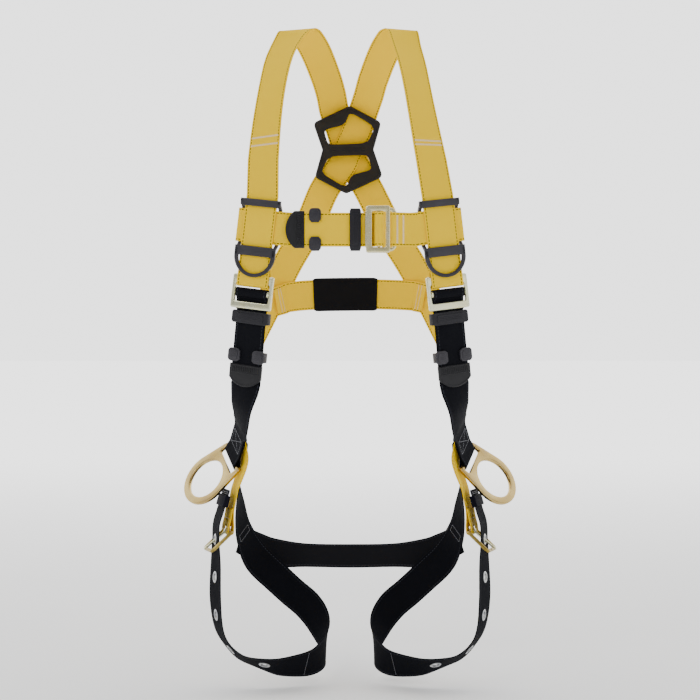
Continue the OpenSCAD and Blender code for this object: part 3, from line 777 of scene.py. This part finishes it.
# The sleeve over the lumbar strap: a loosely woven tube with slightly puckered ends
SLEEVE_SHELLS = ((25, 3.0), (23.4, 1.5))                # half width and half thickness, outer and inner
HEM, HEM_WIDTH = 0.04, 0.93                             # share of its length, and how much it narrows
sleeve_ring = [polar(1.0, a) for a in range(0, 360, 6)]
sleeve_ring = [(math.copysign(abs(c) ** 0.42, -c), math.copysign(abs(s) ** 0.6, s)) for c, s in sleeve_ring]
ring_n, long_n = len(sleeve_ring), 33
lumbar_runs = runs(lumbar_route)
d0, d1 = nearest_run(lumbar_route, (-55, 132, -372)), nearest_run(lumbar_route, (41, 132, -371))
sleeve_runs = [d0 + (d1 - d0) * i / (long_n - 1) for i in range(long_n)]
verts = []
for shell, (half_w, half_t) in enumerate(SLEEVE_SHELLS):
    for i, d in enumerate(sleeve_runs):
        t = i / (long_n - 1)
        c, across, along, normal = reach(lumbar_route, d, lumbar_runs)
        hem = min(1.0, HEM_WIDTH + (1 - HEM_WIDTH) * min(t, 1 - t) / HEM)
        for j, (x, y) in enumerate(sleeve_ring):
            pucker = 1 + (0.05 * math.sin(j * 1.7 + i * 0.6) + 0.04 * math.sin(i * 1.1 + j * 0.4)) * (1 - shell)
            verts.append(c + across * (x * half_w * hem) + normal * (y * half_t * hem * pucker))
inner = len(verts) // 2                                 # the first vertex of the inner shell
shell_faces, shell_uvs = wrap([x * SLEEVE_SHELLS[0][0] * MM for x, y in sleeve_ring], [d * MM for d in sleeve_runs])
faces = shell_faces + [tuple(v + inner for v in face) for face in shell_faces]
uvs = [[(v, u) for u, v in quad] for quad in shell_uvs] * 2
for a in (0, inner - ring_n):
    for j in range(ring_n):
        k = (j + 1) % ring_n
        faces.append((a + j, a + inner + j, a + inner + k, a + k))
        uvs.append([(0.02, 0), (0.02, 0.001), (0.021, 0.001), (0.021, 0)])
sleeve = soften(new_object("lumbar_sleeve_cover", mesh_from("lumbar_sleeve", verts, faces, uvs)))
finish_piece(sleeve, sleeve_web, "webbing", "black_webbing", "lumbar_sleeve")


# ------ stitches
STITCH_PITCH, STITCH_W, STITCH_H = 3.4, 0.85, 0.42
WAVER = 0.12                            # how far a stitch turns from its line, as a slope


def stitch_mesh(length, w):
    """One stitch: a flat grain along x."""
    verts, faces = [], []
    for x, k in ((-0.5, 0.25), (-0.38, 0.85), (0.0, 1.0), (0.38, 0.85), (0.5, 0.25)):
        for a in range(0, 360, 60):
            y, z = polar(k, a)
            verts.append((x * length, y * w / 2, z * STITCH_H))
    last = len(verts) - 6
    for i in range(0, last, 6):
        for j in range(6):
            k = (j + 1) % 6
            faces.append((i + j, i + k, i + 6 + k, i + 6 + j))
    faces += [tuple(range(5, -1, -1)), tuple(range(last, last + 6))]
    me = bpy.data.meshes.new("stitch")
    me.from_pydata(verts, [], faces)
    return me


def seam(s, lines, w=STITCH_W):
    """Stitches along lines of (across, distance along) on both faces of a strap. In mm."""
    r = runs(s)
    parts = []
    for line in lines:
        for (u0, v0), (u1, v1) in zip(line, line[1:]):
            n = max(1, round(math.hypot(u1 - u0, v1 - v0) / STITCH_PITCH))
            for k in range(n):
                for side in (1, -1):
                    ends = []
                    for f in ((k + 0.1) / n, (k + 0.88) / n):
                        c, across, along, normal = reach(s, v0 + (v1 - v0) * f, r)
                        ends.append(c + across * (u0 + (u1 - u0) * f) + normal * side * (WEB_T / 2 * 0.95))
                    length = (ends[1] - ends[0]).length
                    x = (ends[1] - ends[0]).normalized()
                    z = (normal * side - x * x.dot(normal * side)).normalized()
                    x = (x + z.cross(x) * random.uniform(-WAVER, WAVER)).normalized()
                    parts.append((stitch_mesh(length, w), matrix_of(((ends[0] + ends[1]) / 2, x, z.cross(x), z))))
    return parts


def rows_across(d, spacing, n, half=19.0):
    return [[(-half, d + i * spacing), (half, d + i * spacing)] for i in range(n)]


def bartack(half, d, n, wide):
    """A dense zigzag of n teeth across the strap."""
    return [[(-half + 2 * half * i / (2 * n), d + (wide / 2 if i % 2 else -wide / 2)) for i in range(n * 2 + 1)]]


def box_stitch(d0, d1, half, cross=True):
    a, b, c, d = (-half, d0), (half, d0), (half, d1), (-half, d1)
    return [[a, b, c, d, a]] + ([[a, c], [b, d]] if cross else [])


def stitched(name, parts, material, slot):
    finish_piece(gather(name, parts, 60), material, "webbing", slot)
    for me, m in parts:
        bpy.data.meshes.remove(me)


def mirrored(p, s):
    return (p[0] * s, p[1], p[2])


pale, grey = [], []
for s, side in SIDES:
    route = ROUTES["main_strap_" + side]
    for z in (-172, -181.5):
        pale += seam(route, bartack(19.5, nearest_run(route, (-109 * s, -108, z)), 26, 3.8), 1.1)
    below_slider = mirrored(at(slider_at, (0, -2.4, -32)), s)
    pale += seam(route, bartack(18, nearest_run(route, below_slider), 20, 2.4), 1.0)
    end = runs(route)[-1]
    pale += seam(route, box_stitch(end - 36, end - 14, 15, False))
for d in (7, 11.5, lumbar_runs[-1] - 7, lumbar_runs[-1] - 11.5):
    pale += seam(lumbar_route, bartack(19, d, 20, 1.8))
for x in (64.4, 74.3):
    d = nearest_run(chest_left_route, at(breast_at, (x, -8, 0)))
    pale += seam(chest_left_route, bartack(18.5, d, 24, 3.4), 1.1)
d = nearest_run(chest_right_route, at(breast_at, (-78, 0, 0)))
pale += seam(chest_right_route, rows_across(d, 4, 2, 18.5))
for s, side in SIDES:
    route = ROUTES["torso_strap_" + side]
    end = runs(route)[-1]
    grey += seam(route, box_stitch(end - 33, end - 13, 16))
    d = nearest_run(route, mirrored(at(hip_at, (0, -1, 42)), s))
    grey += seam(route, box_stitch(d + 2, d + 24, 16))
    grey += seam(route, rows_across(5, 2.5, 2))
    route = ROUTES["leg_strap_" + side]
    grey += seam(route, rows_across(4, 2.5, 2))
    d = nearest_run(route, (-154 * s, 53, -721))
    grey += seam(route, box_stitch(d - 5, d + 5, 14, False))
    grey += seam(route, rows_across(nearest_run(route, (-60 * s, -28, -892)), 0, 1))
    grey += seam(route, rows_across(runs(route)[-1] - 6, 2.4, 2))
stitched("stitches_pale", pale, pale_thread, "yellow_webbing")
stitched("stitches_grey", grey, grey_thread, "black_webbing")


# ------ hardware
def d_ring(leg_x, leg_w):
    """A ring whose legs, leg_w wide, stand at leg_x from its middle on a straight bar."""
    slot_end, shoulder, corner = 12.4, 7, 3
    outer_r = EYE_D / 2 + RIM_W
    eye_y = slot_end + shoulder + EYE_D / 2
    half, out = leg_x - leg_w / 2, leg_x + leg_w / 2
    line = [(out, 0), (outer_r - 0.6, eye_y - shoulder)] + arc(0, eye_y, outer_r, -9, 189, 60)
    line += [(0.6 - outer_r, eye_y - shoulder), (-out, 0), (-half, 0)]
    line += arc(corner - half, slot_end - corner, corner, 180, 90, 6)
    line += arc(half - corner, slot_end - corner, corner, 90, 0, 6) + [(half, 0)]
    ring = plate("ring", [line, arc(0, eye_y, EYE_D / 2, 0, 357, 119)], RING_T, 1.9)
    return [(ring, HERE), rod([(x, 0, 0) for x in (-out, 3 - out, 0, out - 3, out)], BAR_D / 2, 28)]


def add(name, parts, f, material, body, slot, node, s=1):
    """A piece drawn in a frame of the wearer's right, mirrored to the left if s is -1."""
    o = gather(name, [(me, side_matrix(f, s) @ m) for me, m in parts], 35)
    finish_piece(o, material, body, slot, node)


def pair(name, parts, f, material, body, slot, node):
    """A piece on each side; its body is the webbing or has a side too."""
    for s, side in SIDES:
        own = body if body == "webbing" else body + "_" + side
        add(name + "_" + side, parts, f, material, own, slot, node + "_" + side, s)


add("dorsal_ring_forging", d_ring(33, 7), dorsal_ring_at, gold, "dorsal_ring", "gold_plated_steel", "dorsal_d_ring")
pair("side_ring_forging", d_ring(28.5, 6), side_ring_at, gold, "side_ring", "gold_plated_steel", "side_d_ring")


# Dorsal plate: two lobes, each a hull of rounds, with two windows
def turned(line, a):
    c, d = polar(1.0, a)
    return [(x * c - y * d, x * d + y * c) for x, y in line]


def hull(points):
    pts = sorted(set((round(x, 4), round(y, 4)) for x, y in points))

    def right_turn(a, b, p):
        return (b[0] - a[0]) * (p[1] - a[1]) - (b[1] - a[1]) * (p[0] - a[0]) <= 0

    def half_hull(ps):
        h = []
        for p in ps:
            while len(h) > 1 and right_turn(h[-2], h[-1], p):
                h.pop()
            h.append(p)
        return h[:-1]
    return half_hull(pts) + half_hull(pts[::-1])


def exit_distance(poly, degrees):
    """Distance from the origin to where a ray leaves the polygon."""
    dx, dy = polar(1.0, degrees)
    best = 0
    for (x0, y0), (x1, y1) in zip(poly, poly[1:] + poly[:1]):
        ex, ey = x1 - x0, y1 - y0
        den = dx * ey - dy * ex
        if abs(den) < 1e-9:
            continue
        t = (x0 * ey - y0 * ex) / den
        k = (x0 * dy - y0 * dx) / den
        if -1e-6 <= k <= 1 + 1e-6 and t > best:
            best = t
    return best


def eased(line, times=2, f=0.16):
    """A closed outline with its corners cut off, again and again."""
    for _ in range(times):
        out = []
        for (x0, y0), (x1, y1) in zip(line, line[1:] + line[:1]):
            dx, dy = (x1 - x0) * f, (y1 - y0) * f
            out += [(x0 + dx, y0 + dy), (x1 - dx, y1 - dy)]
        line = out
    return line


lobe_corners = [(-43.5, 36.5), (2.5, 58), (41.5, 37.5), (31, 0), (-31, 0)]
lobe = hull([q for x, y in lobe_corners for q in arc(x, y, 7, 0, 350, 35)])
lobes = [lobe, turned(lobe, 180)]
outline = [polar(max(exit_distance(h, a) for h in lobes), a) for a in range(0, 360, 2)]
window = eased([(-36, 30), (-5.5, 37.5), (3, 57), (40.5, 34.5), (29, 9.5), (-26, 7.5), (-31, 11.5)])
plate_parts = [standing([outline, window, turned(window, 180)], PLATE_T, 1.2)]
for y in (-PLATE_T / 2, PLATE_T / 2):
    plate_parts += [rod([(x * 0.955, y, z * 0.965) for x, z in outline[::3]], 1.1, 10, closed=True),
                    rod([(-27, y, 0), (27, y, 0)], 1.6, 12)]
add("dorsal_plate_moulding", plate_parts, plate_at, dark_plastic, "webbing", "black_plastic", "dorsal_plate")

# Lanyard sliders: two rails, a bar across their top and a D loop below, with a rib round the D
half, rail_t, dee_r = SLIDER_W / 2, 4.5, 23.2
rail_line = [(-9.5, 50.3), (-5.5, 50.3), (-5.5, 47), (2, 39.5), (2, -9), (-5.5, -16.5), (-5.5, -24), (-9.5, -24),
             (-9.5, -15.5), (-2, -8), (-2, 38), (-9.5, 45.5)]
d_line = [(-half, -12), (-half, -24)] + arc(0, -24, half, 180, 360, 48)[1:-1] + [(half, -24), (half, -12)]
d_hole = [(dee_r, -25)] + arc(0, -25, dee_r, 360, 180, 40)[1:-1] + [(-dee_r, -25)]
rail_mesh = plate("rail", [rail_line], rail_t, 0.7)
rail_x = half - 0.5 - rail_t / 2
slider_parts = [(rail_mesh, Matrix.Translation((x, 0, 0)) @ LIE_X) for x in (-rail_x, rail_x)]
slider_parts += [standing([rounded(SLIDER_W - 1, 9.6, 2.4, 0, 45.6)], 4, 1.2, -7.5),
                 standing([d_line, eased(d_hole, 1, 0.1)], 4, 1.1, -7.5),
                 rod([(x, -9.4, z) for x, z in arc(0, -24.5, half - 3, 200, 340, 30)], 0.7)]
pair("lanyard_slider_moulding", slider_parts, slider_at, lit_slider_plastic, "webbing", "black_plastic", "lanyard_slider")

# Chest buckle: a frame whose corners are cut off, and behind it a link with the bar that the strap goes round
cut_off, x0, x1, zh = 6.0, 19.6, 61.5, BUCKLE_W / 2
frame_line = [(x0 + cut_off, -zh), (x1 - cut_off, -zh), (x1, cut_off - zh), (x1, zh - cut_off), (x1 - cut_off, zh),
              (x0 + cut_off, zh), (x0, zh - cut_off), (x0, cut_off - zh)]
add("chest_frame_forging", [standing([eased(frame_line, 1, 0.15), rounded(28, 48, 2, 41.5, 0)], 4, 1.3, -5)],
    breast_at, pale_gold, "webbing", "gold_plated_steel", "chest_buckle_frame")
add("chest_link_forging",
    [standing([rounded(31.6, 62, 3, 36.8, 0), rounded(18, 47, 2, 38, 0)], 4, 1.3, LINK_Y),
     rod([(38, LINK_Y, z) for z in (-23.7, -20, -10, 0, 10, 20, 23.7)], LINK_BAR_R, 24)],
    breast_at, pale_gold, "webbing", "gold_plated_steel", "chest_buckle_link")

# Keepers: the outer and inner y of their wall, front and back
front, back, inner_f, inner_b = -3.6, 7.1, -1.2, 4.7


def bar_keeper(h):
    """A closed loop h high with a raised pad and three fine ribs."""
    mid = (front + back) / 2
    wall = [rounded(KEEPER_W, back - front, 3, 0, mid), rounded(KEEPER_SLOT, inner_b - inner_f, 0.6, 0, mid)]
    parts = [(plate("wall", wall, h - 2, 0.9), HERE), standing([rounded(KEEPER_W - 0.5, h, 3.8)], 2.2, 1.0, -2.7),
             standing([rounded(42, h - 6, 2.4)], 1.6, 0.7, -4.0)]
    return parts + [rod([(x, -4.75, z) for x in (-17, -8, 0, 8, 17)], 0.45) for z in (-2, 0, 2)]


def clip_keeper(h):
    """A loop h high that is open in front between two lugs, each with a pad and three fine ribs."""
    x, corner, lip, slot = KEEPER_W / 2 - 3, 3, 9.5, KEEPER_SLOT / 2
    line = [(lip, front)] + arc(x, front + corner, corner, -90, 0, 6) + arc(x, back - corner, corner, 0, 90, 6)
    line += arc(-x, back - corner, corner, 90, 180, 6) + arc(-x, front + corner, corner, 180, 270, 6)
    line += [(-lip, front), (-lip, inner_f), (-slot, inner_f), (-slot, inner_b), (slot, inner_b), (slot, inner_f),
             (lip, inner_f)]
    parts = [(plate("wall", [line], h - 5, 0.9), HERE)]
    for cx in (9.0 - KEEPER_W / 2, KEEPER_W / 2 - 9.0):
        parts += [standing([rounded(18.2, h, 5, cx, 0)], 2.6, 1.1, -3.0),
                  standing([rounded(12.6, h - 6, 3.6, cx, 0)], 1.4, 0.6, -4.5)]
        parts += [rod([(cx + k, -5.15, z) for k in (-4, 0, 4)], 0.4) for z in (-2.6, 0, 2.6)]
    return parts


def end_cap(l):
    """A cap l long, straight at its top and bowed at its end, with a toothed grip between two lips."""
    cap_half, bow, top, tooth_y = 24.5, 12, -27, -2.6
    r = (cap_half ** 2 + bow ** 2) / (2 * bow)
    cz = top + r - l
    lean = math.degrees(math.asin(cap_half / r))
    line = [(cap_half, top)] + arc(0, cz, r, lean - 90, -lean - 90, 40) + [(-cap_half, top)]
    parts = [standing([line], 4.8, 1.2, -0.2)]
    for z in (top - 1.6, top - 11.4):
        parts.append(rod([(x, tooth_y, z) for x in (-21.5, -10, 0, 10, 21.5)], 0.8, 10))
    for k in range(-7, 8):
        parts.append(rod([(2.8 * k, tooth_y, top - z) for z in (3.4, 6.5, 9.6)], 0.8, 10))
    rim = arc(0, cz, r - 2.2, lean - 94, -lean - 86, 24)
    return parts + [rod([(x, -2.55, z) for x, z in rim], 0.6)]


add("chest_bar_keeper_moulding", bar_keeper(15), chest_tail_at(7), keeper_plastic, "chest_bar_slide",
    "black_plastic", "chest_bar_keeper")
add("chest_clip_keeper_moulding", clip_keeper(16), chest_tail_at(-46), lit_slider_plastic, "chest_clip_slide",
    "black_plastic", "chest_clip_keeper")
add("chest_cap_moulding", end_cap(25), chest_tail_at(-33), cap_rubber, "webbing", "black_plastic", "chest_end_cap")

pair("torso_bar_keeper_moulding", bar_keeper(17), shifted(tail_at, 36.5), keeper_plastic, "torso_bar_slide",
     "black_plastic", "torso_bar_keeper")
pair("torso_clip_keeper_moulding", clip_keeper(18), shifted(tail_at, -15), lit_slider_plastic, "torso_clip_slide",
     "black_plastic", "torso_clip_keeper")
pair("torso_cap_moulding", end_cap(30), tail_at, cap_rubber, "webbing", "black_plastic", "torso_end_cap")

adjuster = [standing([rounded(BUCKLE_W, 45.5, 3, 0, -72.75), rounded(48, 24, 2, 0, -74)], FRAME_T, 1.5, ADJUSTER_Y),
            rod([(x, ADJUSTER_Y, -74) for x in (-25, -15, -5, 5, 15, 25)], ADJUSTER_BAR_R, 28)]
pair("torso_adjuster_forging", adjuster, slider_at, zinc, "webbing", "zinc_plated_steel", "torso_adjuster")

# Leg buckle: a round-bar frame, and a tongue that leans from its eye on the frame's bar to the far side of the frame
frame_path = [(x, y, 0) for x, y in rounded(BUCKLE_W - FRAME_T, 37, 4.5, 0, 18.5, 8)]
pair("leg_frame_rod", [rod(frame_path, FRAME_T / 2, 20, closed=True)], leg_buckle_at, bronze, "leg_frame",
     "zinc_plated_steel", "leg_buckle_frame")
lean_y, lean_z = polar(1.0, 5.25)
tongue = [(lathe([(2.8, -4), (2.8, 4), (3.6, 4), (5.0, 3.2), (5.3, 1.5), (5.3, -1.5), (5.0, -3.2), (3.6, -4)], 28),
           Matrix.Rotation(math.radians(90), 4, "Y")),
          rod([(0, 4 + lean_y * k, -1.9 - lean_z * k) for k in (0, 9, 18, 28, 37)], 1.6, 16)]
pair("leg_tongue_rod", tongue, leg_buckle_at, zinc, "leg_tongue", "zinc_plated_steel", "leg_buckle_tongue")
leg_keeper = plate("loop", [rounded(50, 7.4, 2), rounded(KEEPER_SLOT, 3.6, 1)], 16, 0.8)
pair("leg_keeper_moulding", [(leg_keeper, HERE)], leg_keeper_at, loop_rubber, "leg_keeper_slide", "black_plastic",
     "leg_keeper")

# Eyelets: a grommet with a rolled rim on both faces of the strap
rim = [(5.2, -1.45), (5.8, -1.62), (7.2, -1.5), (8, -1.0), (7.9, -0.8), (6, -0.8)]
grommet = lathe([(5, -1.2)] + rim + [(r, -z) for r, z in rim[::-1]] + [(5, 1.2)])
for s, side in SIDES:
    o = gather("leg_grommets_" + side, [(grommet, side_matrix(f, s)) for f in eyelet_frames], 35)
    finish_piece(o, nickel, "webbing", "zinc_plated_steel", "leg_eyelets_" + side)


# ------ floor, light, camera
FLOOR_Z, FLOOR_HALF = -0.925, 60
corners = [(x * FLOOR_HALF, y * FLOOR_HALF, FLOOR_Z) for x, y in ((-1, -1), (1, -1), (1, 1), (-1, 1))]
me = bpy.data.meshes.new("floor")
me.from_pydata(corners, [], [(0, 1, 2, 3)])
floor = new_object("floor_pale", me)
m = Nodes("floor_pale")
place = m.place()
m.to("Base Color", m.mixed(m.noise(place, 3, 2), (0.86, 0.86, 0.86, 1), (0.9, 0.9, 0.9, 1)))
m.to("Roughness", 0.85)
m.to("Specular IOR Level", 0.0)
# the floor glows more and more towards the back, up to the brightness of the bright side of the studio
far_y = m.put("ShaderNodeSeparateXYZ", (place,)).outputs[1]
glow = m.put("ShaderNodeMapRange", (far_y, -0.6, 4.5, 0.05, 1.5), interpolation_type="SMOOTHSTEP")
m.to("Emission Color", (1, 1, 1, 1))
m.to("Emission Strength", glow.outputs[0])
me.materials.append(m.mat)


def area(name, place, target, size, power):
    light = bpy.data.lights.new(name, "AREA")
    light.shape, light.size, light.energy = "SQUARE", size, power
    o = new_object(name, light)
    o.location = place
    o.rotation_euler = (Vector(target) - Vector(place)).to_track_quat("-Z", "Y").to_euler()


area("key", (-1.5, -2.4, 1.2), (0, 0, -0.4), 1.0, 18)
area("fill", (1.9, -2.2, 0.2), (0, 0, -0.45), 1.6, 8)
area("top", (0.1, 0.1, 1.8), (0, 0, -0.4), 1.6, 4)
world = bpy.data.worlds.new("studio")
world.use_nodes = True
tree = world.node_tree
# dim behind the camera and bright behind the harness, from y = -0.7 to 0.8 of the direction
aim = tree.nodes.new("ShaderNodeTexCoord")
split = tree.nodes.new("ShaderNodeSeparateXYZ")
fade = tree.nodes.new("ShaderNodeMapRange")
fade.interpolation_type = "SMOOTHSTEP"
for k, v in zip((1, 2, 3, 4), (-0.7, 0.8, 0.42, 2.5)):
    fade.inputs[k].default_value = v
tree.links.new(aim.outputs["Generated"], split.inputs[0])
tree.links.new(split.outputs[1], fade.inputs[0])
back_drop = tree.nodes["Background"]
back_drop.inputs[0].default_value = (1, 1, 1, 1)
tree.links.new(fade.outputs[0], back_drop.inputs[1])
bpy.context.scene.world = world

cam = new_object("camera", bpy.data.cameras.new("camera"))
cam.data.sensor_width, cam.data.lens = 36.0, 73.4
cam.location, cam.rotation_euler = (0, -2.02, -0.455), (math.radians(90), 0, 0)
bpy.context.scene.camera = cam
